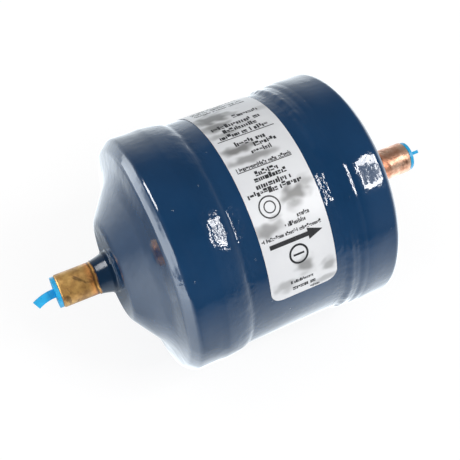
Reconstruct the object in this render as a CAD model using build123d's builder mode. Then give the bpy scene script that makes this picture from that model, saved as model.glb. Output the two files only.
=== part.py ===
# Liquid-line filter drier with 6 mm solder sockets: a welded steel shell round a moulded desiccant core.
# The axis of the shell is X, the refrigerant flows towards +X, and the origin is the middle of the axis.
import os
from math import atan2, cos, degrees, radians, sin, sqrt

from build123d import *

# ---- driving dimensions, in millimetres ----
tube_od = 60.0
tube_wall = 1.3
tube_length = 46.0

cap_wall = 1.3
cap_lap = 7.0  # how far each cap reaches over the tube
cap_past_tube = 5.25  # tube end to the corner of skirt and dish
dish_rise = 1.6  # the dish climbs this much on its way in
dish_inner_radius = 22.8
hub_rise = 6.75  # the cone round the hub climbs this much more
hub_radius = 13.1
shoulder_round = 3.7
dish_round = 12.0
hub_round = 4.2
rim_bevel = 0.6
collar_height = 1.3
collar_wall = 1.0
collar_base_bevel = 0.7

weld_reach = 3.6  # along the tube
weld_crown = 0.22  # how far the bead stands above its chord

socket_bore = 6.1  # takes a 6 mm line
socket_depth = 9.0
stub_wall = 1.2
stub_reach = 9.45  # bare copper outside the root
root_swell = 0.2  # the root is this much larger in radius
root_reach = 4.6  # hub face to the end of the root
line_bore = 4.8  # behind the socket's stop
stub_bead_width = 1.2
stub_bead_height = 1.3
stub_inside = 1.6  # bead to the inner end
edge_break = 0.25
braze_height = 2.9

plug_play = 0.05  # radial clearance in the socket
plug_seat_gap = 0.1
plug_spigot = 6.0
plug_bore = 4.0
plug_flange = 0.9
flange_inset = 0.25  # flange edge to stub edge
tail_width = 2.2
tail_thickness = 0.9
inlet_tail_length = 5.4
inlet_tail_bend = 28.0
inlet_tail_side = -42.0  # which way it bends, up from the front horizontal
outlet_tail_length = 3.8
outlet_tail_bend = 28.0
outlet_tail_side = 234.0

label_thickness = 0.15
label_width = 17.8
label_shift = 1.6  # along the flow
label_low_angle = 9.8  # above the horizontal, at the front
label_sweep = 190.0
label_corner = 3.0
label_corner_slack = 0.01  # the corner cuts start this far outside the edge

core_gap = 2.3  # tube to core
core_length = 31.0
core_bore = 14.0
core_bore_depth = 21.0
core_place = -16.8  # inlet face of the core
felt_thickness = 2.0
screen_thickness = 0.4
plate_thickness = 1.0
plate_rim = 2.0
slip_gap = 0.1  # pieces that slide into the tube
gasket_width = 6.5
strainer_floor = 1.2
strainer_gap = 0.2  # strainer skirt to the outlet cap
hole_diameter = 3.2
inner_hole_count = 6
inner_hole_circle = 8.5
outer_hole_count = 10
outer_hole_circle = 16.0

spring_wire = 1.4
spring_small_radius = 7.8
spring_large_radius = 12.5
spring_turns = 3.5
spring_flat_count = 6  # the wire is drawn with flats

# ---- places worked out from them ----
tube_radius = tube_od / 2
tube_bore = tube_radius - tube_wall
tube_end = tube_length / 2
cap_radius = tube_radius + cap_wall
cap_rim = tube_end - cap_lap
shoulder = tube_end + cap_past_tube
dish_low = shoulder + dish_rise
hub_face = dish_low + hub_rise
hub_inside = hub_face - cap_wall

socket_radius = socket_bore / 2
stub_radius = socket_radius + stub_wall
root_radius = stub_radius + root_swell
root_end = hub_face + root_reach
stub_end = root_end + stub_reach
stub_start = hub_inside - stub_bead_width - stub_inside
collar_radius = root_radius + collar_wall
collar_end = hub_face + collar_height
flange_start = stub_end + plug_seat_gap
flange_end = flange_start + plug_flange
flange_radius = stub_radius - flange_inset

core_radius = tube_bore - core_gap
core_end = core_place + core_length
inlet_felt_start = core_place - felt_thickness
inlet_screen_start = inlet_felt_start - screen_thickness
plate_start = inlet_screen_start - plate_thickness
sliding_radius = tube_bore - slip_gap
gasket_bore = sliding_radius - gasket_width
outlet_screen_start = core_end + felt_thickness
strainer_start = outlet_screen_start + screen_thickness


def ring(start, end, inner, outer):
    # the section of a ring or disc, drawn above the axis and turned round it
    with BuildSketch(Plane.XZ) as section:
        with Locations((start, inner)):
            Rectangle(end - start, outer - inner, align=Align.MIN)
    revolve(section.sketch, axis=Axis.X)


def hole_rings(place):
    # both rings of flow holes and one in the middle
    rings = ((inner_hole_count, inner_hole_circle), (outer_hole_count, outer_hole_circle))
    for count, radius in rings:
        with Locations(Plane.YZ.offset(place)):
            with PolarLocations(radius, count):
                Hole(hole_diameter / 2)
    with Locations(Plane.YZ.offset(place)):
        Hole(hole_diameter / 2)


# ---- shell ----
with BuildPart() as body_tube:
    ring(-tube_end, tube_end, tube_bore, tube_radius)
    chamfer(body_tube.edges().filter_by(GeomType.CIRCLE), edge_break)
body_tube.part.label = "body_tube"

# one drawn sheet: skirt over the tube, shoulder, shallow dish, cone and flat hub
with BuildPart() as outlet_cap:
    with BuildSketch(Plane.XZ) as cap_section:
        with BuildLine():
            FilletPolyline(
                (cap_rim, cap_radius),
                (shoulder, cap_radius),
                (dish_low, dish_inner_radius),
                (hub_face, hub_radius),
                (hub_face, root_radius),
                radius=[shoulder_round, dish_round, hub_round],
            )
            offset(amount=cap_wall, side=Side.RIGHT, closed=True)
        make_face()
        rim_corner = cap_section.vertices().group_by(Axis.X)[0].sort_by(Axis.Y)[-1]
        chamfer(rim_corner, rim_bevel)
    revolve(axis=Axis.X)
    # the hole for the stub is drawn outwards into a collar
    ring(hub_inside, collar_end, root_radius, collar_radius)
    collar_corner = (
        outlet_cap.edges()
        .filter_by(GeomType.CIRCLE)
        .filter_by(lambda edge: abs(edge.radius - collar_radius) < edge_break)
        .filter_by_position(Axis.X, hub_face - edge_break, hub_face + edge_break)
    )
    chamfer(collar_corner, collar_base_bevel)
outlet_cap.part.label = "outlet_cap"

with BuildPart() as inlet_cap:
    mirror(outlet_cap.part, about=Plane.YZ)
inlet_cap.part.label = "inlet_cap"

# the bead lies in the corner between the cap's rim and the tube
with BuildPart() as outlet_weld:
    with BuildSketch(Plane.XZ):
        with BuildLine():
            toe = (cap_rim - weld_reach, tube_radius)
            root = (cap_rim, tube_radius)
            crest = (cap_rim, cap_radius - rim_bevel)
            middle = (cap_rim - weld_reach / 2, (toe[1] + crest[1]) / 2 + weld_crown)
            ThreePointArc(toe, middle, crest)
            Line(crest, root)
            Line(root, toe)
        make_face()
    revolve(axis=Axis.X)
outlet_weld.part.label = "outlet_weld"

with BuildPart() as inlet_weld:
    mirror(outlet_weld.part, about=Plane.YZ)
inlet_weld.part.label = "inlet_weld"

# ---- copper stubs ----
with BuildPart() as outlet_stub:
    ring(stub_start, root_end, line_bore / 2, root_radius)
    ring(hub_inside - stub_bead_width, hub_inside, line_bore / 2, root_radius + stub_bead_height)
    ring(root_end, stub_end - socket_depth, line_bore / 2, stub_radius)
    ring(stub_end - socket_depth, stub_end, socket_radius, stub_radius)
    mouth = outlet_stub.edges().filter_by(GeomType.CIRCLE).group_by(Axis.X)[-1]
    chamfer(mouth, edge_break)
outlet_stub.part.label = "outlet_stub"

with BuildPart() as inlet_stub:
    mirror(outlet_stub.part, about=Plane.YZ)
inlet_stub.part.label = "inlet_stub"

# brazing metal drawn up between the collar and the stub
with BuildPart() as outlet_braze:
    with BuildSketch(Plane.XZ):
        with BuildLine():
            foot = (collar_end, collar_radius - edge_break)
            heel = (collar_end, root_radius)
            top = (collar_end + braze_height, root_radius)
            hollow = (collar_end + braze_height * 0.45, root_radius + (foot[1] - heel[1]) * 0.48)
            ThreePointArc(foot, hollow, top)
            Line(top, heel)
            Line(heel, foot)
        make_face()
    revolve(axis=Axis.X)
outlet_braze.part.label = "outlet_braze"

with BuildPart() as inlet_braze:
    mirror(outlet_braze.part, about=Plane.YZ)
inlet_braze.part.label = "inlet_braze"

# ---- dust plugs ----
def dust_plug(side, tail_length, tail_bend, tail_side):
    # hollow spigot in the socket, thin flange on the stub's end, and a moulded tail to pull it by
    with BuildPart() as plug:
        ring(stub_end - plug_spigot, flange_start, plug_bore / 2, socket_radius - plug_play)
        tip = plug.edges().filter_by(GeomType.CIRCLE).group_by(Axis.X)[0].sort_by(SortBy.RADIUS)[-1]
        chamfer(tip, edge_break)
        ring(flange_start, flange_end, 0, flange_radius)
        if side < 0:
            mirror(about=Plane.YZ, mode=Mode.REPLACE)
        sideways = Vector(0, -cos(radians(tail_side)), sin(radians(tail_side)))
        outwards = Vector(side, 0, 0)
        bend_plane = Plane(outwards * flange_end, x_dir=outwards, z_dir=outwards.cross(sideways))
        bend_radius = tail_length / radians(tail_bend)
        with BuildSketch(bend_plane):
            with BuildLine():
                inner = JernArc((0, tail_width / 2), (1, 0), bend_radius - tail_width / 2, tail_bend)
                outer = JernArc((0, -tail_width / 2), (1, 0), bend_radius + tail_width / 2, tail_bend)
                Line(inner @ 0, outer @ 0)
                Line(inner @ 1, outer @ 1)
            make_face()
        extrude(amount=tail_thickness / 2, both=True)
    return plug


inlet_plug = dust_plug(-1, inlet_tail_length, inlet_tail_bend, inlet_tail_side)
inlet_plug.part.label = "inlet_plug"
outlet_plug = dust_plug(1, outlet_tail_length, outlet_tail_bend, outlet_tail_side)
outlet_plug.part.label = "outlet_plug"

# ---- label, wrapped over the top of the tube ----
label_back = radians(180 - label_low_angle - label_sweep)
label_edge_plane = Plane((0, 0, 0), x_dir=(1, 0, 0), z_dir=(0, -sin(label_back), cos(label_back)))
with BuildPart() as label:
    with BuildSketch(label_edge_plane):
        with Locations((label_shift, tube_radius)):
            Rectangle(label_width, label_thickness, align=(Align.CENTER, Align.MIN))
    revolve(axis=Axis.X, revolution_arc=label_sweep)
    # round the four corners: at each end of the label, a flat sheet over it cuts away what lies outside
    for end_angle, inwards in ((label_back, 1), (label_back + radians(label_sweep), -1)):
        outwards = Vector(0, cos(end_angle), sin(end_angle))
        along = Vector(0, -sin(end_angle), cos(end_angle)) * inwards
        end_plane = Plane(outwards * tube_radius, x_dir=(1, 0, 0), z_dir=Vector(1, 0, 0).cross(along))
        kept_width = label_width + label_corner_slack * 2
        kept_height = label_corner * 4
        with BuildSketch(end_plane):
            with Locations((label_shift, 0)):
                Rectangle(label_width + label_corner, label_corner * 2)
            with Locations((label_shift, kept_height / 2 - label_corner_slack)):
                RectangleRounded(kept_width, kept_height, label_corner, mode=Mode.SUBTRACT)
        extrude(amount=label_thickness * 6, both=True, mode=Mode.SUBTRACT)
label.part.label = "label"

# ---- inside, from the inlet to the outlet ----
spring_start = -hub_inside + spring_wire / 2
spring_height = plate_start - spring_wire / 2 - spring_start
spring_spread = degrees(atan2(spring_large_radius - spring_small_radius, spring_height))
with BuildPart() as core_spring:
    with BuildLine() as coil:
        Helix(
            pitch=spring_height / spring_turns,
            height=spring_height,
            radius=spring_small_radius,
            center=(spring_start, 0, 0),
            direction=(1, 0, 0),
            cone_angle=spring_spread,
        )
    with BuildSketch(Plane(coil.line @ 0, z_dir=coil.line % 0)):
        RegularPolygon(spring_wire / 2, spring_flat_count)
    sweep(is_frenet=True)
core_spring.part.label = "core_spring"

# the spring bears on a perforated plate with an upturned rim
with BuildPart() as spring_plate:
    ring(plate_start, inlet_screen_start, 0, core_radius)
    ring(plate_start - plate_rim, plate_start, core_radius - plate_thickness, core_radius)
    hole_rings(plate_start)
spring_plate.part.label = "spring_plate"

with BuildPart() as inlet_screen:
    ring(inlet_screen_start, inlet_felt_start, 0, core_radius)
inlet_screen.part.label = "inlet_screen"

with BuildPart() as inlet_felt:
    ring(inlet_felt_start, core_place, 0, core_radius)
inlet_felt.part.label = "inlet_felt"

# moulded block with a blind bore that opens towards the outlet
with BuildPart() as desiccant_core:
    ring(core_place, core_end, 0, core_radius)
    with Locations(Plane.YZ.offset(core_end)):
        Hole(core_bore / 2, depth=core_bore_depth)
    ends = desiccant_core.edges().filter_by(GeomType.CIRCLE).sort_by(SortBy.RADIUS)[-2:]
    chamfer(ends, edge_break * 4)
desiccant_core.part.label = "desiccant_core"

# all flow has to pass the core, because the gasket closes the gap round it
with BuildPart() as core_gasket:
    ring(core_end, outlet_screen_start, gasket_bore, sliding_radius)
core_gasket.part.label = "core_gasket"

with BuildPart() as outlet_felt:
    ring(core_end, outlet_screen_start, 0, gasket_bore)
outlet_felt.part.label = "outlet_felt"

with BuildPart() as outlet_screen:
    ring(outlet_screen_start, strainer_start, 0, sliding_radius)
outlet_screen.part.label = "outlet_screen"

# perforated cup whose skirt stands on the inside of the outlet cap and takes the spring's push
shoulder_inside_round = shoulder_round - cap_wall
skirt_in_round = sliding_radius - (tube_radius - shoulder_inside_round)
skirt_room = sqrt(shoulder_inside_round**2 - skirt_in_round**2)
strainer_end = shoulder - cap_wall - shoulder_inside_round + skirt_room - strainer_gap
with BuildPart() as outlet_strainer:
    ring(strainer_start, strainer_start + strainer_floor, 0, sliding_radius)
    ring(strainer_start, strainer_end, sliding_radius - plate_thickness, sliding_radius)
    hole_rings(strainer_start)
outlet_strainer.part.label = "outlet_strainer"

pieces = (
    body_tube, inlet_cap, outlet_cap, inlet_weld, outlet_weld,
    inlet_stub, outlet_stub, inlet_braze, outlet_braze, inlet_plug, outlet_plug, label,
    core_spring, spring_plate, inlet_screen, inlet_felt, desiccant_core,
    core_gasket, outlet_felt, outlet_screen, outlet_strainer,
)
os.makedirs("parts", exist_ok=True)
for piece in pieces:
    export_step(piece.part, f"parts/{piece.part.label}.step")
    print(piece.part.label, round(piece.part.volume, 1))
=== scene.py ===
import math
import random
import bmesh
import bpy
from mathutils import Matrix, Vector, noise


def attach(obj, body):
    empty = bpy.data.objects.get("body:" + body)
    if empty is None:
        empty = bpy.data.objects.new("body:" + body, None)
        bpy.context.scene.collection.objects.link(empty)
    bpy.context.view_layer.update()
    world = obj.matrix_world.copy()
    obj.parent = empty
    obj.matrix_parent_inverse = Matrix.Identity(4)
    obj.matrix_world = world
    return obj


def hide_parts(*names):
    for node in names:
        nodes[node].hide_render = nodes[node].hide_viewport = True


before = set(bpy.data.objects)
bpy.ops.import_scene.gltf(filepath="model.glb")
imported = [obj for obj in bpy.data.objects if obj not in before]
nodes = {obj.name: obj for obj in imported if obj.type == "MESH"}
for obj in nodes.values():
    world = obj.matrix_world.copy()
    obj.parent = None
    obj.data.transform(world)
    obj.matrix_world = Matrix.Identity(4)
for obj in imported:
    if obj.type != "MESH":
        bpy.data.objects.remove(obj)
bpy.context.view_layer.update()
mm = 0.001
scene = bpy.context.scene


# mesh helpers take sizes in millimetres
def filletPath(corners, rounds, steps=9):  # corners rounded, first and last kept sharp
    path = [corners[0]]
    for i in range(1, len(corners) - 1):
        here = Vector(corners[i])
        back = (Vector(corners[i - 1]) - here).normalized()
        ahead = (Vector(corners[i + 1]) - here).normalized()
        half = back.angle(ahead) / 2
        reach = rounds[i - 1] / math.tan(half)
        centre = here + (back + ahead).normalized() * rounds[i - 1] / math.sin(half)
        start = here + back * reach - centre
        end = here + ahead * reach - centre
        sweep = start.angle_signed(end)
        for k in range(steps + 1):
            turn = Matrix.Rotation(-sweep * k / steps, 2)
            path.append(tuple(centre + turn @ start))
    path.append(corners[-1])
    return path


def resample(path, pitch):  # extra points, so that no run is longer than the pitch
    out = []
    for (ax, ar), (bx, br) in zip(path, path[1:]):
        length = math.hypot(bx - ax, br - ar)
        parts = max(1, math.ceil(length / pitch))
        for k in range(parts):
            out.append((ax + (bx - ax) * k / parts, ar + (br - ar) * k / parts))
    out.append(path[-1])
    return out


def throughPoints(points, pitch):  # a smooth wall through (x, r) points, with no overshoot
    slopes = [(br - ar) / (bx - ax) for (ax, ar), (bx, br) in zip(points, points[1:])]
    tangents = [slopes[0]]
    for before, after in zip(slopes, slopes[1:]):
        same = before * after > 0
        tangents.append(2 * before * after / (before + after) if same else 0)
    tangents.append(slopes[-1])
    out = []
    for i in range(len(slopes)):
        (ax, ar), (bx, br) = points[i], points[i + 1]
        wide = bx - ax
        parts = max(1, math.ceil(wide / pitch))
        for k in range(parts):
            t = k / parts
            r = (1 + 2 * t) * (1 - t) ** 2 * ar + t * (1 - t) ** 2 * wide * tangents[i]
            r += t * t * (3 - 2 * t) * br + t * t * (t - 1) * wide * tangents[i + 1]
            out.append((ax + wide * t, r))
    return out + [points[-1]]


def linkMesh(name, mesh, sharp=35):
    work = bmesh.new()
    work.from_mesh(mesh)
    bmesh.ops.recalc_face_normals(work, faces=work.faces)
    work.to_mesh(mesh)
    work.free()
    mesh.shade_smooth()
    mesh.set_sharp_from_angle(angle=math.radians(sharp))
    piece = bpy.data.objects.new(name, mesh)
    scene.collection.objects.link(piece)
    return piece


def onShell(x, r, phi):  # phi goes from the front horizontal up over the top
    return (x * mm, -r * math.cos(phi) * mm, r * math.sin(phi) * mm)


def spin(name, loop, segments, shape=None, sharp=35):  # turns a closed (x, r) loop about the flow axis
    points, faces = [], []
    count = len(loop)
    for s in range(segments):
        phi = math.tau * s / segments
        for x, r in loop:
            if shape:
                x, r = shape(x, r, phi)
            points.append(onShell(x, r, phi))
    for s in range(segments):
        a = s * count
        b = (s + 1) % segments * count
        for i in range(count):
            j = (i + 1) % count
            faces.append((a + i, a + j, b + j, b + i))
    mesh = bpy.data.meshes.new(name)
    mesh.from_pydata(points, [], faces)
    return linkMesh(name, mesh, sharp)


def smooth(t):
    t = min(1, max(0, t))
    return t * t * (3 - 2 * t)


def fade(value, start, last):  # rises from 0 at the start to 1 at start + last
    return smooth((value - start) / last)


noiseRadius = 30


def wobble(x, phi, scale, seed):  # noise that closes round the axis
    across = noiseRadius * math.cos(phi) * scale + seed
    upwards = noiseRadius * math.sin(phi) * scale
    return noise.noise(Vector((x * scale, across, upwards)))


# node helpers
def newMaterial(name):
    material = bpy.data.materials.new(name)
    material.use_nodes = True
    tree = material.node_tree
    return material, tree, tree.nodes["Principled BSDF"]


def addNode(tree, kind, **values):
    node = tree.nodes.new(kind)
    for key, value in values.items():
        setattr(node, key, value)
    return node


def objectPlace(tree):
    return addNode(tree, "ShaderNodeTexCoord").outputs["Object"]


def splitNode(tree, source):
    node = addNode(tree, "ShaderNodeSeparateXYZ")
    tree.links.new(source, node.inputs[0])
    return node.outputs


def noiseNode(tree, scale, detail=3, rough=0.5, place=None):
    node = addNode(tree, "ShaderNodeTexNoise")
    node.inputs["Scale"].default_value = scale
    node.inputs["Detail"].default_value = detail
    node.inputs["Roughness"].default_value = rough
    tree.links.new(place or objectPlace(tree), node.inputs["Vector"])
    return node.outputs["Fac"]


def rampNode(tree, source, stops):  # the stops are made in place, because moving them mixes them up
    node = addNode(tree, "ShaderNodeValToRGB")
    ramp = node.color_ramp
    ramp.elements[0].position = stops[0][0]
    ramp.elements[1].position = stops[-1][0]
    for place, colour in stops[1:-1]:
        ramp.elements.new(place)
    for element, (place, colour) in zip(ramp.elements, stops):
        if not isinstance(colour, tuple):
            colour = (colour, colour, colour)
        element.color = (*colour, 1)
    tree.links.new(source, node.inputs["Fac"])
    return node.outputs["Color"]


def mathNode(tree, operation, *values):
    node = addNode(tree, "ShaderNodeMath", operation=operation)
    for socket, value in zip(node.inputs, values):
        if isinstance(value, (int, float)):
            socket.default_value = value
        else:
            tree.links.new(value, socket)
    return node.outputs[0]


def mixColour(tree, factor, first, second, blend="MIX"):
    node = addNode(tree, "ShaderNodeMix", data_type="RGBA", blend_type=blend)
    for socket, value in zip((node.inputs[0], node.inputs[6], node.inputs[7]), (factor, first, second)):
        if isinstance(value, tuple):
            socket.default_value = (*value, 1)
        elif isinstance(value, (int, float)):
            socket.default_value = value
        else:
            tree.links.new(value, socket)
    return node.outputs[2]


def bumpNode(tree, height, strength, distance, below=None):  # the distance is in metres
    node = addNode(tree, "ShaderNodeBump")
    node.inputs["Strength"].default_value = strength
    node.inputs["Distance"].default_value = distance
    tree.links.new(height, node.inputs["Height"])
    if below:
        tree.links.new(below, node.inputs["Normal"])
    return node.outputs["Normal"]


alongReach = 60  # mm from the middle at which the ramps along the axis end


def alongAxis(tree, ragged=None):  # 0 at the middle and 1 at alongReach
    x = splitNode(tree, objectPlace(tree))["X"]
    along = mathNode(tree, "MULTIPLY", mathNode(tree, "ABSOLUTE", x), 1 / mm)
    if ragged:
        along = mathNode(tree, "ADD", along, ragged)
    return mathNode(tree, "DIVIDE", along, alongReach)


# paint: deep blue gloss with orange peel, sags, dust specks and spatter near the seams
paintFinish = {
    "deep": (0.0056, 0.0352, 0.096), "light": (0.0094, 0.047, 0.123), "tintScale": 70,
    "gloss": [(0.3, 0.045), (0.7, 0.11)], "glossScale": 60,
    "sag": 0.00015, "sagScale": 150,
    "peel": 0.00003, "peelScale": 620,
    "spatter": 0.000095, "spatterScale": 800,
    "spatterAlong": [(0.15, 0), (0.19, 1), (0.27, 0.7), (0.33, 0.12)],
    "speck": 0.0001, "speckScale": 170, "speckEdge": [(0.015, 1), (0.05, 0)],
    "neckDark": (0.008, 0.02, 0.035), "neckDarkening": 0.6,
    "neckDulling": 1.5, "neckGloss": 0.05, "neckSpecular": 0.22,
}


def paintNodes(tree):  # colour, roughness and normal of the sprayed paint
    tint = noiseNode(tree, paintFinish["tintScale"], 4)
    colour = rampNode(tree, tint, [(0.3, paintFinish["deep"]), (0.7, paintFinish["light"])])
    gloss = rampNode(tree, noiseNode(tree, paintFinish["glossScale"], 4), paintFinish["gloss"])
    sag = noiseNode(tree, paintFinish["sagScale"], 2)
    peel = noiseNode(tree, paintFinish["peelScale"], 2)
    spatter = noiseNode(tree, paintFinish["spatterScale"], 2)
    nearSeam = rampNode(tree, alongAxis(tree), paintFinish["spatterAlong"])
    normal = bumpNode(tree, sag, 1, paintFinish["sag"])
    normal = bumpNode(tree, peel, 1, paintFinish["peel"], normal)
    normal = bumpNode(tree, mathNode(tree, "MULTIPLY", spatter, nearSeam), 1, paintFinish["spatter"], normal)
    cells = addNode(tree, "ShaderNodeTexVoronoi")
    cells.inputs["Scale"].default_value = paintFinish["speckScale"]
    tree.links.new(objectPlace(tree), cells.inputs["Vector"])
    specks = rampNode(tree, cells.outputs["Distance"], paintFinish["speckEdge"])
    return colour, gloss, bumpNode(tree, specks, 1, paintFinish["speck"], normal)


def shellPaint():
    material, tree, shader = newMaterial("shell paint")
    for value, socket in zip(paintNodes(tree), ("Base Color", "Roughness", "Normal")):
        tree.links.new(value, shader.inputs[socket])
    return material


def neckPaint():  # the same paint, darker and duller round the neck, where the stub meets the hub
    material, tree, shader = newMaterial("neck paint")
    colour, gloss, normal = paintNodes(tree)
    # round the neck the paint colour is mixed toward a dark grey blue
    colour = mixColour(tree, paintFinish["neckDarkening"], colour, paintFinish["neckDark"])
    gloss = mathNode(tree, "MULTIPLY_ADD", gloss, paintFinish["neckDulling"], paintFinish["neckGloss"])
    shader.inputs["Specular IOR Level"].default_value = paintFinish["neckSpecular"]
    for value, socket in zip((colour, gloss, normal), ("Base Color", "Roughness", "Normal")):
        tree.links.new(value, shader.inputs[socket])
    return material


# copper stubs, with darker paint at the root and heat tint on the copper where the paint ends in a ragged
# line
copperFinish = {
    "inlet": {"name": "tarnished copper", "dark": (0.24, 0.12, 0.035), "middle": (0.45, 0.245, 0.07),
              "bright": (0.62, 0.37, 0.115), "edge": (0.2, 0.16, 0.12), "metallic": 0.35},
    "outlet": {"name": "pink copper", "dark": (0.42, 0.18, 0.1), "middle": (0.66, 0.37, 0.25),
               "bright": (0.88, 0.63, 0.46), "edge": (0.6, 0.5, 0.5), "metallic": 0.8},
    "specular": 0.3, "blotchScale": 330, "dull": [(0.3, 0.46), (0.7, 0.3)],
    "scratchTurn": (0.5, 0.3, 0.9), "scratchStretch": (0.25, 2.6, 1.0), "scratchScale": 260,
    "scratches": [(0.36, 0.45), (0.44, 1)], "scratchDepth": 0.0001,
    "ragged": 0.9, "raggedScale": 420, "bare": [(0.6865, 0), (0.6885, 1)],
    "rim": (1.5, 1.35, 1.1), "heated": (1.25, 0.92, 0.8), "untouched": (1, 1, 1),
    "dent": 0.00022, "dentScale": 380,
}


def stubCopper(end):
    look = copperFinish[end]
    material, tree, shader = newMaterial(look["name"])
    shader.inputs["Specular IOR Level"].default_value = copperFinish["specular"]
    colour, gloss, normal = paintNodes(tree)
    blotch = noiseNode(tree, copperFinish["blotchScale"], 4, 0.6)
    tint = rampNode(tree, blotch, [(0.32, look["dark"]), (0.5, look["middle"]), (0.68, look["bright"])])
    turned = addNode(tree, "ShaderNodeMapping")
    turned.inputs["Rotation"].default_value = copperFinish["scratchTurn"]
    tree.links.new(objectPlace(tree), turned.inputs["Vector"])
    stretched = addNode(tree, "ShaderNodeVectorMath", operation="MULTIPLY")
    stretched.inputs[1].default_value = copperFinish["scratchStretch"]
    tree.links.new(turned.outputs[0], stretched.inputs[0])
    scratch = noiseNode(tree, copperFinish["scratchScale"], 5, 0.5, stretched.outputs[0])
    scratches = rampNode(tree, scratch, copperFinish["scratches"])
    worn = mixColour(tree, 1, tint, scratches, "MULTIPLY")
    rough = mathNode(tree, "SUBTRACT", noiseNode(tree, copperFinish["raggedScale"], 2), 0.5)
    along = alongAxis(tree, mathNode(tree, "MULTIPLY", rough, copperFinish["ragged"]))
    bare = rampNode(tree, along, copperFinish["bare"])
    rim, edge = copperFinish["rim"], look["edge"]
    heat = rampNode(tree, along, [
        (0.6885, rim), (0.694, rim), (0.696, edge), (0.7, edge),
        (0.706, copperFinish["heated"]), (0.73, copperFinish["untouched"])])
    heated = mixColour(tree, 1, worn, heat, "MULTIPLY")
    # the painted root of the stub is darkened the same way as the neck
    neckDark = mixColour(tree, paintFinish["neckDarkening"], colour, paintFinish["neckDark"])
    tree.links.new(mixColour(tree, bare, neckDark, heated), shader.inputs["Base Color"])
    dull = rampNode(tree, blotch, copperFinish["dull"])
    tree.links.new(mixColour(tree, bare, gloss, dull), shader.inputs["Roughness"])
    tree.links.new(mathNode(tree, "MULTIPLY", bare, look["metallic"]), shader.inputs["Metallic"])
    dent = bumpNode(tree, noiseNode(tree, copperFinish["dentScale"], 2), 1, copperFinish["dent"])
    marked = bumpNode(tree, scratches, 0.5, copperFinish["scratchDepth"], dent)
    chosen = addNode(tree, "ShaderNodeMix", data_type="VECTOR")
    tree.links.new(bare, chosen.inputs[0])
    tree.links.new(normal, chosen.inputs[4])
    tree.links.new(marked, chosen.inputs[5])
    tree.links.new(chosen.outputs[1], shader.inputs["Normal"])
    return material


filmFinish = {
    "white": [(0.3, (0.74, 0.75, 0.775)), (0.7, (0.79, 0.8, 0.82))], "whiteScale": 120,
    "faded": (0.2, 0.2, 0.2),
    "gloss": [(0.3, 0.3), (0.7, 0.38)], "raised": 0.00006, "raisedScale": 260,
}


def filmPlastic():  # white label film with its faded grey patches
    material, tree, shader = newMaterial("label film")
    fine = noiseNode(tree, filmFinish["whiteScale"], 4)
    white = rampNode(tree, fine, filmFinish["white"])
    faded = addNode(tree, "ShaderNodeAttribute", attribute_name="faded").outputs["Fac"]
    tree.links.new(mixColour(tree, faded, white, filmFinish["faded"]), shader.inputs["Base Color"])
    tree.links.new(rampNode(tree, fine, filmFinish["gloss"]), shader.inputs["Roughness"])
    raised = bumpNode(tree, noiseNode(tree, filmFinish["raisedScale"], 2), 1, filmFinish["raised"])
    tree.links.new(raised, shader.inputs["Normal"])
    return material


# grained finishes: dark and light of the grain, roughness, grain scale, bump strength
grainDepth = 0.0003
roughSpread = 0.06


def grained(name, dark, light, rough, scale=300, bump=0.2, metallic=0.0):
    material, tree, shader = newMaterial(name)
    grain = noiseNode(tree, scale, 4)
    tree.links.new(rampNode(tree, grain, [(0.3, dark), (0.7, light)]), shader.inputs["Base Color"])
    gloss = rampNode(tree, grain, [(0.3, rough - roughSpread), (0.7, rough + roughSpread)])
    tree.links.new(gloss, shader.inputs["Roughness"])
    shader.inputs["Metallic"].default_value = metallic
    tree.links.new(bumpNode(tree, grain, bump, grainDepth), shader.inputs["Normal"])
    return material


paint = shellPaint()
darkNeckPaint = neckPaint()
inletCopper = stubCopper("inlet")
outletCopper = stubCopper("outlet")
labelFilm = filmPlastic()
plugPlastic = grained("plug plastic", (0.012, 0.38, 0.74), (0.03, 0.5, 0.88), 0.3)
ink = grained("label ink", (0.01, 0.01, 0.012), (0.022, 0.022, 0.026), 0.5, 900)
springSteel = grained("spring steel", (0.32, 0.32, 0.33), (0.5, 0.5, 0.5), 0.35, 500, metallic=1)
plateSteel = grained("plate steel", (0.45, 0.45, 0.45), (0.62, 0.62, 0.6), 0.32, 400, metallic=1)
wireMesh = grained("wire mesh", (0.2, 0.2, 0.2), (0.5, 0.5, 0.48), 0.5, 1500, 0.8, metallic=1)
felt = grained("felt", (0.72, 0.69, 0.6), (0.86, 0.83, 0.75), 0.94, 1600, 0.9)
desiccant = grained("desiccant", (0.5, 0.42, 0.32), (0.68, 0.6, 0.48), 0.92, 900, 0.8)
gasketFibre = grained("gasket fibre", (0.2, 0.2, 0.18), (0.3, 0.3, 0.27), 0.85, 1200, 0.6)


def dress(piece, material):
    piece.data.materials.clear()
    piece.data.materials.append(material)


keptNodes = {
    "core_spring": springSteel,
    "spring_plate": plateSteel,
    "outlet_strainer": plateSteel,
    "inlet_screen": wireMesh,
    "outlet_screen": wireMesh,
    "inlet_felt": felt,
    "outlet_felt": felt,
    "desiccant_core": desiccant,
    "core_gasket": gasketFibre,
    "inlet_stub": inletCopper,
    "outlet_stub": outletCopper,
    "inlet_braze": darkNeckPaint,
    "outlet_braze": darkNeckPaint,
    "inlet_plug": plugPlastic,
    "outlet_plug": plugPlastic,
}
for name, material in keptNodes.items():
    for held in nodes[name].material_slots:
        held.material = material
print("materials done")

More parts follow.
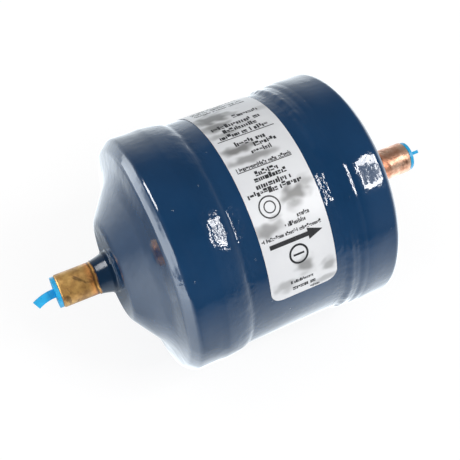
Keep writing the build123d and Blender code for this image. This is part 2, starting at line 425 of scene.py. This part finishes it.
# end caps: outside walls as (x, r) points, then shoulder, dish, cone, hub and collar
cap = {
    "inletWall": [(16.0, 30.96), (17.2, 31.13), (18.2, 31.22), (19.0, 31.26), (19.8, 31.2), (21, 31.13),
                  (23, 31.12), (24.6, 31.16)],
    "outletWall": [(16.0, 30.56), (17.0, 30.8), (18.0, 30.98), (18.6, 31.02), (19.0, 31.03), (19.6, 31.12),
                   (20.4, 31.2), (21.5, 31.235), (25.2, 31.24)],
    "inletShoulder": [(26.45, 31.16), (28.72, 29.1)], "inletRounds": [2.2, 2.0],
    "outletShoulder": [(27.2, 31.24), (28.5, 29.8)], "outletRounds": [1.6, 2.0],
    "dishLow": 29.85, "dishRadius": 22.8, "dishRound": 12,
    "hub": 36.6, "hubRadius": 13.1, "hubRound": 4.2,
    "collar": 5.45, "collarEnd": 37.9, "collarRound": 0.6, "collarLip": 5.0,
    "lipRise": 0.001, "hole": 4.45, "wall": 1.3, "rim": 16.0, "hubInset": 0.6, "dishInset": 0.7,
    "insideShoulder": 27.15, "insideRadius": 30.0, "insideRounds": [0.2, 2.9, 13.3, 2.4],
    "segments": 320, "outerPitch": 0.7, "innerPitch": 2.5,
    "waves": 0.035, "waveScale": 0.07, "ripples": 0.025, "rippleScale": 0.2,
    "notchAt": 51.5, "notchWide": 3.2, "notchDeep": 0.3, "thinWide": 14, "thinDeep": 0.16,
    "darkNeckFrom": 36.4, "darkNeckRadius": 6.3,
    "outsideRadius": 30.4, "outsideFrom": 29.2, "neck": 6,  # outside is over this radius or past this x
    "neckFade": (6, 6), "rimFade": (16, 1.5), "notchAlong": (26.6, 1.4), "notchOut": (27.0, 1.6),
}
hump = {"high": 0.42, "at": 14.5, "wide": 1.0, "dip": 0.16, "dipAt": 16.9, "dipWide": 0.6, "until": 20,
        "lowFade": (22, 18), "topFade": (66, 20)}  # fades are where they start and how long they last


def capLoop(end):
    wall = throughPoints(cap[end + "Wall"], 0.3)
    outer = filletPath(
        [wall[-1], *cap[end + "Shoulder"], (cap["dishLow"], cap["dishRadius"]),
         (cap["hub"], cap["hubRadius"]), (cap["hub"], cap["collar"]), (cap["collarEnd"], cap["collar"])],
        cap[end + "Rounds"] + [cap["dishRound"], cap["hubRound"], cap["collarRound"]], 14)
    hubInside = cap["hub"] - cap["wall"]
    inner = filletPath(
        [(cap["collarEnd"], cap["hole"]), (hubInside, cap["hole"]),
         (hubInside, cap["hubRadius"] - cap["hubInset"]),
         (cap["dishLow"] - cap["wall"], cap["dishRadius"] - cap["dishInset"]),
         (cap["insideShoulder"], cap["insideRadius"]), (cap["rim"], cap["insideRadius"])],
        cap["insideRounds"], 6)
    lip = (cap["collarEnd"] + cap["lipRise"], cap["collarLip"])
    return wall[:-1] + resample(outer, cap["outerPitch"]) + [lip] + resample(inner, cap["innerPitch"])


def bell(x, middle, wide):
    return math.exp(-((x - middle) / wide) ** 2)


def seamHump(x, phi):  # the outlet bead stands fatter below and behind than in front
    angle = math.degrees(phi)
    front = fade(angle, *hump["lowFade"]) * (1 - fade(angle, *hump["topFade"]))
    rise = hump["high"] * bell(x, hump["at"], hump["wide"])
    rise -= hump["dip"] * bell(x, hump["dipAt"], hump["dipWide"])
    return rise * (1 - front)


def shoulderNotch(phi):  # a small dent where the inlet shoulder narrows
    angle = math.degrees(phi)
    dent = cap["notchDeep"] * bell(angle, cap["notchAt"], cap["notchWide"])
    return dent + cap["thinDeep"] * bell(angle, cap["notchAt"], cap["thinWide"])


def capShape(side):
    def shape(x, r, phi):
        outside = r > cap["outsideRadius"] or x > cap["outsideFrom"]
        if outside and r > cap["neck"]:
            dip = cap["waves"] * (1 + wobble(x, phi, cap["waveScale"], 9 * side))
            dip += cap["ripples"] * (1 + wobble(x, phi, cap["rippleScale"], 5 + side))
            r -= dip * fade(r, *cap["neckFade"]) * fade(x, *cap["rimFade"])
            if side > 0 and x < hump["until"]:
                r += seamHump(x, phi)
            if side < 0:
                x -= shoulderNotch(phi) * fade(x, *cap["notchAlong"]) * fade(r, *cap["notchOut"])
        return x * side, r
    return shape


for side, end in ((-1, "inlet"), (1, "outlet")):
    piece = spin(end + "CapShell", capLoop(end), cap["segments"], capShape(side))
    dress(piece, paint)
    piece.data.materials.append(darkNeckPaint)
    # faces round the hub collar get the darker neck paint
    for face in piece.data.polygons:
        middle = face.center / mm
        if abs(middle.x) > cap["darkNeckFrom"] and math.hypot(middle.y, middle.z) < cap["darkNeckRadius"]:
            face.material_index = 1
    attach(piece, "drier")
    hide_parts(end + "_cap")

# seam welds: a smooth bead at the inlet, a rough narrow one at the outlet
weld = {
    "inlet": [(11.6, 29.98), (12.0, 30.0), (12.5, 30.13), (13.1, 30.4), (13.8, 30.64), (14.8, 30.83),
              (16.1, 30.97)],
    "outlet": [(11.6, 29.97), (12.2, 30.0), (13.2, 30.04), (14.1, 30.12), (15.0, 30.32), (16.1, 30.585)],
    "ripple": {"inlet": 0.012, "outlet": 0.03}, "ripples": 52, "uneven": 2.5, "unevenScale": 0.12,
    "lumps": {"inlet": 0.07, "outlet": 0.12}, "lumpScale": 0.33,
    "edge": 0.35, "edgeScale": 0.17, "edgeFade": 2.2, "swell": 0.7,
    "rippledOver": 30.03, "humpOver": 29.95, "most": 31.26,  # radii
    "root": 29.9, "rootInset": 0.5, "rootEnd": 15.9, "segments": 460, "pitch": 0.16, "sharp": 60,
}


def weldShape(end, side):
    first, last = weld[end][0][0], weld[end][-1][0]

    def shape(x, r, phi):
        t = (x - first) / (last - first)
        body = math.sin(math.pi * smooth(t)) ** weld["swell"] if 0 < t < 1 else 0
        if r > weld["rippledOver"] and t < 1:
            uneven = weld["uneven"] * wobble(x, phi, weld["unevenScale"], 3)
            beat = math.sin(weld["ripples"] * phi + uneven)
            lump = wobble(x, phi, weld["lumpScale"], 11 + side)
            r += body * (weld["ripple"][end] * beat + weld["lumps"][end] * lump)
        if r > weld["humpOver"] and side > 0:
            r += seamHump(x, phi)
        ragged = weld["edge"] * wobble(0, phi, weld["edgeScale"], 20 * side)
        return (x + ragged * (1 - smooth(t * weld["edgeFade"]))) * side, min(r, weld["most"])
    return shape


for side, end in ((-1, "inlet"), (1, "outlet")):
    rootStart = weld[end][0][0] + weld["rootInset"]
    loop = throughPoints(weld[end], weld["pitch"])
    loop += [(weld["rootEnd"], weld["root"]), (rootStart, weld["root"])]
    piece = spin(end + "WeldBead", loop, weld["segments"], weldShape(end, side), weld["sharp"])
    dress(piece, paint)
    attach(piece, "drier")
    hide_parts(end + "_weld")

# tube
tube = {"end": 23.0, "outer": 29.99, "inner": 28.7, "bevel": 0.25, "innerBevel": 0.2,
        "outerLip": 29.75, "innerLip": 28.9, "outerPitch": 1.2, "innerPitch": 6, "segments": 300,
        "seen": 14.5, "outside": 29.9, "waves": 0.03, "waveScale": 0.07}


def tubeLoop():
    end, straight, hollow = tube["end"], tube["end"] - tube["bevel"], tube["end"] - tube["innerBevel"]
    outside = [(-end, tube["outerLip"]), (-straight, tube["outer"]), (straight, tube["outer"]),
               (end, tube["outerLip"])]
    inside = [(end, tube["innerLip"]), (hollow, tube["inner"]), (-hollow, tube["inner"]),
              (-end, tube["innerLip"])]
    return resample(outside, tube["outerPitch"]) + resample(inside, tube["innerPitch"])


def tubeShape(x, r, phi):
    if r > tube["outside"] and abs(x) < tube["seen"]:
        r -= tube["waves"] * (1 + wobble(x, phi, tube["waveScale"], 41))
    return x, r


piece = spin("tubeShell", tubeLoop(), tube["segments"], tubeShape)
dress(piece, paint)
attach(piece, "drier")
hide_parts("body_tube")
print("shell done")

# label: a film from low in front, over the top, to low behind; angles are in degrees
label = {
    "left": -7.3, "right": 10.5, "low": 9.8, "sweep": 190.0, "corner": 3.0, "under": 30.01, "top": 30.15,
    "across": 60, "along": 420, "slack": 0.025, "slackAcross": 0.35, "slackAlong": 0.17,
    "ragged": 0.5, "raggedAcross": 0.5, "raggedAlong": 0.35, "solid": 0.35,
}
fadedPatches = [  # x, angle, half width, half height in degrees, strength
    (-3.0, 112, 6.0, 6.0, 1.0), (-4.5, 103.5, 4.2, 3.6, 0.9), (-3.0, 96.5, 4.2, 1.8, 0.55),
    (-2.6, 85.2, 4.8, 2.6, 0.95), (-0.6, 79, 6.6, 2.4, 0.75), (5.0, 57, 3.8, 4.2, 1.0),
    (3.8, 52.5, 2.0, 3.0, 0.7), (-4.4, 46, 4.0, 3.4, 0.8), (2.4, 24, 2.4, 4.6, 0.8),
    (-3.5, 17, 3.2, 3.4, 0.55), (8.5, 20, 2.0, 3.4, 0.65), (7.2, 12.5, 3.0, 1.8, 0.55),
    (8.4, 60, 2.0, 3.4, 0.6), (-2.2, 50, 1.6, 1.6, 0.4), (9.0, 107, 2.0, 2.4, 0.35),
    (2.0, 99.8, 3.5, 0.8, 0.3),
]


def fadedAt(x, angle):
    level = 0
    for middle, middleAngle, halfX, halfAngle, strength in fadedPatches:
        place = Vector((x * label["raggedAcross"], angle * label["raggedAlong"], middleAngle))
        away = math.hypot((x - middle) / halfX, (angle - middleAngle) / halfAngle)
        away += label["ragged"] * noise.noise(place)
        level = max(level, strength * (1 - smooth(away - label["solid"])))
    return level


def cornerInset(toEnd):  # how far the rounded corners draw the side edges in
    corner = label["corner"]
    if toEnd >= corner:
        return 0
    return corner - math.sqrt(max(0, corner ** 2 - (corner - toEnd) ** 2))


def labelMesh():
    acrossCount, alongCount = label["across"], label["along"]
    perDegree = math.pi * label["top"] / 180
    points, faces, faded = [], [], []
    for layer in ("top", "under"):
        for j in range(alongCount + 1):
            angle = label["low"] + label["sweep"] * j / alongCount
            inset = cornerInset(min(angle - label["low"], label["low"] + label["sweep"] - angle) * perDegree)
            left, right = label["left"] + inset, label["right"] - inset
            for i in range(acrossCount + 1):
                x = left + (right - left) * i / acrossCount
                r = label[layer]
                if layer == "top":
                    place = Vector((x * label["slackAcross"], angle * label["slackAlong"], 3))
                    r -= label["slack"] * (1 + noise.noise(place))
                points.append(onShell(x, r, math.radians(angle)))
                faded.append(fadedAt(x, angle) if layer == "top" else 0)
    row = acrossCount + 1
    size = row * (alongCount + 1)
    for j in range(alongCount):
        for i in range(acrossCount):
            a = j * row + i
            faces.append((a, a + 1, a + row + 1, a + row))
            faces.append((size + a, size + a + row, size + a + row + 1, size + a + 1))
    rim = list(range(row))
    rim += [j * row + acrossCount for j in range(1, alongCount + 1)]
    rim += [alongCount * row + i for i in range(acrossCount - 1, -1, -1)]
    rim += [j * row for j in range(alongCount - 1, 0, -1)]
    for a, b in zip(rim, rim[1:] + rim[:1]):
        faces.append((a, size + a, size + b, b))
    mesh = bpy.data.meshes.new("labelFilm")
    mesh.from_pydata(points, [], faces)
    mesh.attributes.new("faded", "FLOAT", "POINT").data.foreach_set("value", faded)
    return linkMesh("labelFilm", mesh)


piece = labelMesh()
dress(piece, labelFilm)
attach(piece, "drier")
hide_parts("label")

# print: rows of blocks, rules, rings and an arrow, as flat shapes just above the label
printed = {
    "radius": 30.166, "shift": 0.76, "bold": 1.25, "marks": random.Random(5),
    "widths": (1.0, 1.0, 1.3, 1.9, 2.6), "gaps": (0.3, 0.4, 0.6),  # shares of the weight
    "bottoms": (0, 0, 0, 0.05, 0.3), "tops": (0.66, 0.66, 0.7, 0.7, 1, 1),  # shares of the height
    "splitOver": 1.5, "splitChance": 0.65, "splitShift": 0.1, "splitBar": 0.8, "splitLeast": 1.1,
    "spaceChance": 0.08, "space": 0.42,
    "rows": [  # left, right, angle, height, weight
        (0.75, 7.75, 107.5, 1.5, 0.3), (-6.25, 7.0, 101.9, 1.6, 0.34), (-4.1, 4.6, 98.1, 1.4, 0.28),
        (-5.9, 6.25, 94.4, 1.4, 0.28), (-3.6, 4.5, 88.2, 1.5, 0.34), (0.5, 6.0, 85.0, 1.3, 0.26),
        (-1.0, 4.5, 81.7, 1.3, 0.26), (-6.6, 7.4, 75.0, 1.1, 0.16), (-2.9, 3.0, 70.9, 1.3, 0.3),
        (-3.75, 4.5, 68.4, 1.3, 0.3), (-4.1, 5.25, 65.1, 1.4, 0.32), (-6.9, 7.75, 62.2, 1.4, 0.3),
        (2.6, 6.0, 47.8, 1.1, 0.16), (-1.0, 4.6, 45.2, 1.1, 0.2), (-7.6, 8.4, 41.6, 0.9, 0.15),
        (-2.75, 3.1, 17.7, 0.9, 0.14), (-2.4, 3.9, 14.4, 1.3, 0.28), (2.25, 5.0, 11.4, 0.8, 0.14)],
    "rules": [(-6.9, 7.9, 92.3, 0.12), (-6.6, 7.4, 73.6, 0.1)],  # left, right, angle, half height
    "rings": [(-2.9, 55.1, 2.7, 0.35), (-2.9, 55.1, 1.5, 0.3), (0.5, 30.7, 2.5, 0.5)],  # last is the line
    "ringBar": (-0.9, 1.9, 30.7, 0.25),
    "arrow": {"angle": 38.0, "tail": -6.1, "neck": 4.0, "head": 3.9, "tip": 7.75,
              "shaft": 0.55, "barb": 1.4},
}
backRows = {"first": 121.0, "step": 3.6, "rows": 18, "left": -6.3, "right": 7.4, "short": 4.5,
            "height": 1.05, "weight": 0.15, "rule": 0.08}
printPoints, printFaces = [], []


def printShape(outline):  # a flat outline in x and arc length, laid on the label
    start = len(printPoints)
    for x, arc in outline:
        printPoints.append(onShell(x + printed["shift"], printed["radius"], arc / printed["radius"]))
    printFaces.append(tuple(range(start, start + len(outline))))


def arcAt(angle):
    return math.radians(angle) * printed["radius"]


def bar(left, right, low, high):
    printShape([(left, low), (right, low), (right, high), (left, high)])


def rule(left, right, angle, half):
    bar(left, right, arcAt(angle) - half, arcAt(angle) + half)


def blockRow(left, right, angle, height, weight):  # small blocks and bars in place of words
    rng = printed["marks"]
    low = arcAt(angle) - height / 2
    weight *= printed["bold"]
    x = left
    while x < right - weight:
        wide = weight * rng.choice(printed["widths"])
        bottom = low + height * rng.choice(printed["bottoms"])
        top = low + height * rng.choice(printed["tops"])
        if wide > printed["splitOver"] * weight and rng.random() < printed["splitChance"]:
            shift = rng.uniform(-printed["splitShift"], printed["splitShift"])
            middle = (bottom + top) / 2 + shift * height
            bar(x, x + wide, bottom, bottom + weight * printed["splitBar"])
            bar(x, x + wide, max(middle, bottom + weight * printed["splitLeast"]), top)
        else:
            bar(x, x + wide, bottom, top)
        x += wide + weight * rng.choice(printed["gaps"])
        if rng.random() < printed["spaceChance"]:
            x += height * printed["space"]


def ringPrint(x, angle, outer, line, steps=48):
    base = arcAt(angle)
    inner = outer - line
    for k in range(steps):
        a, b = math.tau * k / steps, math.tau * (k + 1) / steps
        printShape([(x + radius * math.cos(turn), base + radius * math.sin(turn))
                    for radius, turn in ((outer, a), (outer, b), (inner, b), (inner, a))])


def arrowPrint():
    arrow = printed["arrow"]
    arc = arcAt(arrow["angle"])
    bar(arrow["tail"], arrow["neck"], arc - arrow["shaft"], arc + arrow["shaft"])
    head, barb = arrow["head"], arrow["barb"]
    printShape([(head, arc - barb), (arrow["tip"], arc), (head, arc + barb)])


def backPrint():  # small print and rules on the half behind
    left, right, step = backRows["left"], backRows["right"], backRows["step"]
    for row in range(backRows["rows"]):
        angle = backRows["first"] + step * row
        short = backRows["short"] if row % 3 == 2 else 0
        blockRow(left, right - short, angle, backRows["height"], backRows["weight"])
        if row % 6 == 5:
            rule(left, right, angle + step / 2, backRows["rule"])


for row in printed["rows"]:
    blockRow(*row)
backPrint()
for line in printed["rules"]:
    rule(*line)
for ring in printed["rings"]:
    ringPrint(*ring)
rule(*printed["ringBar"])
arrowPrint()
mesh = bpy.data.meshes.new("labelPrint")
mesh.from_pydata(printPoints, [], printFaces)
piece = bpy.data.objects.new("labelPrint", mesh)
scene.collection.objects.link(piece)
dress(piece, ink)
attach(piece, "drier")
print("label done")

# floor, room and lights; levels are (azimuth in degrees, level) as the glossy paint mirrors them, and the
# floor levels are a painted reflection of lit paper with a painted shadow of the object in it
glow = {
    "most": 7, "close": 60, "far": 400, "tint": (0.93, 1.0, 1.05),  # close and far are in mm
    # painted floor reflection; close in, the dip from 140 to 165 degrees is the object's painted shadow
    "paintedFloorClose": [(-180, 0.95), (-165, 1.1), (-150, 2.4), (-138, 2.4), (-110, 1.1), (-90, 1.6), (-70, 1.9),
                   (-50, 2.0), (-30, 2.3), (-10, 2.4), (20, 1.9), (110, 1.8), (128, 1.6), (140, 0.4),
                   (150, 0.1), (165, 0.3), (180, 1.2)],
    "paintedFloorFar": [(-180, 2.5), (-170, 5), (-160, 6.5), (-138, 6.5), (-128, 3), (-110, 0.6), (-90, 0.05),
                 (-70, 0.15), (-50, 0.55), (-10, 0.7), (10, 0.9), (30, 1.9), (50, 2.2), (70, 1.5), (90, 1.2),
                 (113, 2.5), (125, 3.2), (133, 2.6), (141, 1.9), (150, 1.2), (168, 1.0), (180, 2.5)],
    "wall": [(-180, 1.0), (-150, 1.0), (-138, 0.8), (-125, 0.3), (-110, 0.08), (-75, 0.1), (-55, 0.45),
             (-30, 0.6), (-10, 0.9), (30, 0.75), (70, 1.1), (100, 1.4), (120, 2.0), (135, 2.5), (150, 1.5),
             (180, 1.0)],
    "height": [(0.5, 1.0), (0.63, 0.7), (0.75, 0.38), (0.85, 0.12), (1.0, 0.07)],
    "leftLight": [(0.5, 0), (0.52, 1), (0.69, 1), (0.73, 0.3), (0.78, 0.03)], "leftPower": 7,
    "leftSide": [(0.35, 0), (0.65, 1)], "leftBack": [(0.275, 0), (0.335, 1)],
    "least": 0.05, "even": 0.42,
}
ground = {
    "reach": 3.0, "low": -0.0313, "paper": [(0.3, 0.84), (0.7, 0.88)], "paperScale": 30, "rough": 0.9,
    "seen": 1.08, "seenFar": 0.1, "seenShare": 0.8,
}
white = (1, 1, 1, 1)


def azimuthRamp(tree, x, y, levels):
    turn = mathNode(tree, "ARCTAN2", y, x)
    part = mathNode(tree, "MULTIPLY_ADD", turn, 1 / math.tau, 0.5)
    stops = [((azimuth + 180) / 360, level / glow["most"]) for azimuth, level in levels]
    return mathNode(tree, "MULTIPLY", rampNode(tree, part, stops), glow["most"])


def mixShader(tree, factor, first, second):
    node = addNode(tree, "ShaderNodeMixShader")
    if isinstance(factor, float):
        node.inputs[0].default_value = factor
    else:
        tree.links.new(factor, node.inputs[0])
    tree.links.new(first, node.inputs[1])
    tree.links.new(second, node.inputs[2])
    return node.outputs[0]


def byRay(tree, usual, mirrored, seen):  # one shader each for most rays, glossy rays and the camera
    rays = addNode(tree, "ShaderNodeLightPath")
    unseen = mixShader(tree, rays.outputs["Is Glossy Ray"], usual, mirrored)
    return mixShader(tree, rays.outputs["Is Camera Ray"], unseen, seen)


def floorPaper():
    material, tree, shader = newMaterial("floor paper")
    paper = rampNode(tree, noiseNode(tree, ground["paperScale"], 4), ground["paper"])
    tree.links.new(paper, shader.inputs["Base Color"])
    shader.inputs["Roughness"].default_value = ground["rough"]
    place = splitNode(tree, addNode(tree, "ShaderNodeNewGeometry").outputs["Position"])
    x, y = place["X"], place["Y"]
    squares = mathNode(tree, "ADD", mathNode(tree, "POWER", x, 2), mathNode(tree, "POWER", y, 2))
    distance = mathNode(tree, "MULTIPLY", mathNode(tree, "SQRT", squares), 1 / (mm * glow["close"]))
    outward = mathNode(tree, "LOGARITHM", mathNode(tree, "MAXIMUM", distance, 1), glow["far"] / glow["close"])
    share = mathNode(tree, "MINIMUM", outward, 1)
    # glossy rays see the floor glowing at these levels: a painted reflection of lit paper, holding the
    # object's painted shadow
    close = azimuthRamp(tree, x, y, glow["paintedFloorClose"])
    far = azimuthRamp(tree, x, y, glow["paintedFloorFar"])
    level = mathNode(tree, "MULTIPLY_ADD", mathNode(tree, "SUBTRACT", far, close), share, close)
    mirrored = addNode(tree, "ShaderNodeEmission")
    mirrored.inputs["Color"].default_value = (*glow["tint"], 1)
    tree.links.new(level, mirrored.inputs["Strength"])
    # the camera sees white emission, a little dimmer close to the object, mixed with the diffuse paper, which
    # keeps the real shadow
    bright = addNode(tree, "ShaderNodeEmission")
    brightness = mathNode(tree, "MULTIPLY_ADD", share, ground["seenFar"], ground["seen"])
    tree.links.new(brightness, bright.inputs["Strength"])
    seen = mixShader(tree, ground["seenShare"], shader.outputs[0], bright.outputs[0])
    surface = byRay(tree, shader.outputs[0], mirrored.outputs[0], seen)
    tree.links.new(surface, tree.nodes["Material Output"].inputs["Surface"])
    return material


def floorPlane():
    reach, low = ground["reach"], ground["low"]
    corners = [(-reach, -reach, low), (reach, -reach, low), (reach, reach, low), (-reach, reach, low)]
    mesh = bpy.data.meshes.new("floor")
    mesh.from_pydata(corners, [], [(0, 1, 2, 3)])
    plane = bpy.data.objects.new("floor", mesh)
    scene.collection.objects.link(plane)
    return plane


def roomWorld():  # even light for the diffuse rays, a patterned room in the gloss, white to the camera
    room = bpy.data.worlds.new("room")
    room.use_nodes = True
    tree = room.node_tree
    place = splitNode(tree, addNode(tree, "ShaderNodeTexCoord").outputs["Generated"])
    upward = mathNode(tree, "MULTIPLY_ADD", place["Z"], 0.5, 0.5)
    wall = azimuthRamp(tree, place["X"], place["Y"], glow["wall"])
    walls = mathNode(tree, "MULTIPLY", wall, rampNode(tree, upward, glow["height"]))
    leftLight = rampNode(tree, upward, glow["leftLight"])
    onLeft = rampNode(tree, mathNode(tree, "MULTIPLY", place["X"], -1), glow["leftSide"])
    behind = rampNode(tree, mathNode(tree, "MULTIPLY_ADD", place["Y"], 0.5, 0.5), glow["leftBack"])
    sideways = mathNode(tree, "MULTIPLY", onLeft, behind)
    lit = mathNode(tree, "MULTIPLY", mathNode(tree, "MULTIPLY", leftLight, sideways), glow["leftPower"])
    total = mathNode(tree, "ADD", mathNode(tree, "ADD", walls, lit), glow["least"])
    patterned = addNode(tree, "ShaderNodeBackground")
    patterned.inputs["Color"].default_value = (*glow["tint"], 1)
    tree.links.new(total, patterned.inputs["Strength"])
    even = tree.nodes["Background"]
    even.inputs["Color"].default_value = white
    even.inputs["Strength"].default_value = glow["even"]
    seen = addNode(tree, "ShaderNodeBackground")
    seen.inputs["Color"].default_value = white
    surface = byRay(tree, even.outputs[0], patterned.outputs[0], seen.outputs[0])
    tree.links.new(surface, tree.nodes["World Output"].inputs["Surface"])
    return room


floor = floorPlane()
dress(floor, floorPaper())
scene.world = roomWorld()

windowCentre = (0.236, -0.289, 0.378)
lights = [  # name, centre, shift right and up, width and height, radiance, seen in gloss, lights the rest
    ("windowLeft", windowCentre, (-0.03, 0), (0.016, 0.225), 34, True, True),
    ("windowRight", windowCentre, (0.031, 0), (0.016, 0.225), 34, True, True),
    ("windowTop", windowCentre, (0, 0.088), (0.045, 0.045), 20, True, True),
    ("windowBottom", windowCentre, (0, -0.094), (0.045, 0.04), 34, True, True),
    ("windowMiddle", windowCentre, (0, 0), (0.045, 0.135), 1.6, True, True),
    ("lamp", (-0.27, 0.17, 0.53), (0, 0), (0.16, 0.3), 22, True, False),
    ("skylight", (0.15, -0.5, 0.7), (0, 0), (0.5, 0.5), 0.9, False, True),
    ("leftFill", (-0.8, -0.25, 0.3), (0, 0), (0.4, 0.4), 5.5, False, True),
]


def softLight(name, centre, shift, size, radiance, inGloss, onRest):  # a flat lamp that faces the object
    centre = Vector(centre)
    outwards = centre.normalized()
    across = (Vector((1, 0, 0)) - outwards * outwards.x).normalized()
    upwards = outwards.cross(across)
    wide, tall = size
    data = bpy.data.lights.new(name, "AREA")
    data.shape = "RECTANGLE"
    data.size = wide
    data.size_y = tall
    data.energy = radiance * wide * tall * math.pi
    lamp = bpy.data.objects.new(name, data)
    turned = Matrix((across, upwards, outwards)).transposed().to_4x4()
    lamp.matrix_world = Matrix.Translation(centre + across * shift[0] + upwards * shift[1]) @ turned
    lamp.visible_glossy = inGloss
    lamp.visible_diffuse = onRest
    scene.collection.objects.link(lamp)


for light in lights:
    softLight(*light)

# camera
view = {
    "lens": 62.466, "sensor": 36, "clip": 0.01, "place": (-0.062195, -0.117507, 0.162979),
    "ahead": (0.277697, 0.556728, -0.782904), "right": (0.894312, -0.447442, -0.000981),
}


def viewCamera():
    data = bpy.data.cameras.new("camera")
    data.lens = view["lens"]
    data.sensor_width = view["sensor"]
    data.clip_start = view["clip"]
    camera = bpy.data.objects.new("camera", data)
    ahead = Vector(view["ahead"]).normalized()
    right = Vector(view["right"]).normalized()
    turned = Matrix((right, right.cross(ahead), -ahead)).transposed().to_4x4()
    camera.matrix_world = Matrix.Translation(view["place"]) @ turned
    scene.collection.objects.link(camera)
    return camera


scene.camera = viewCamera()
scene.view_settings.view_transform = "Standard"
print("stage done")
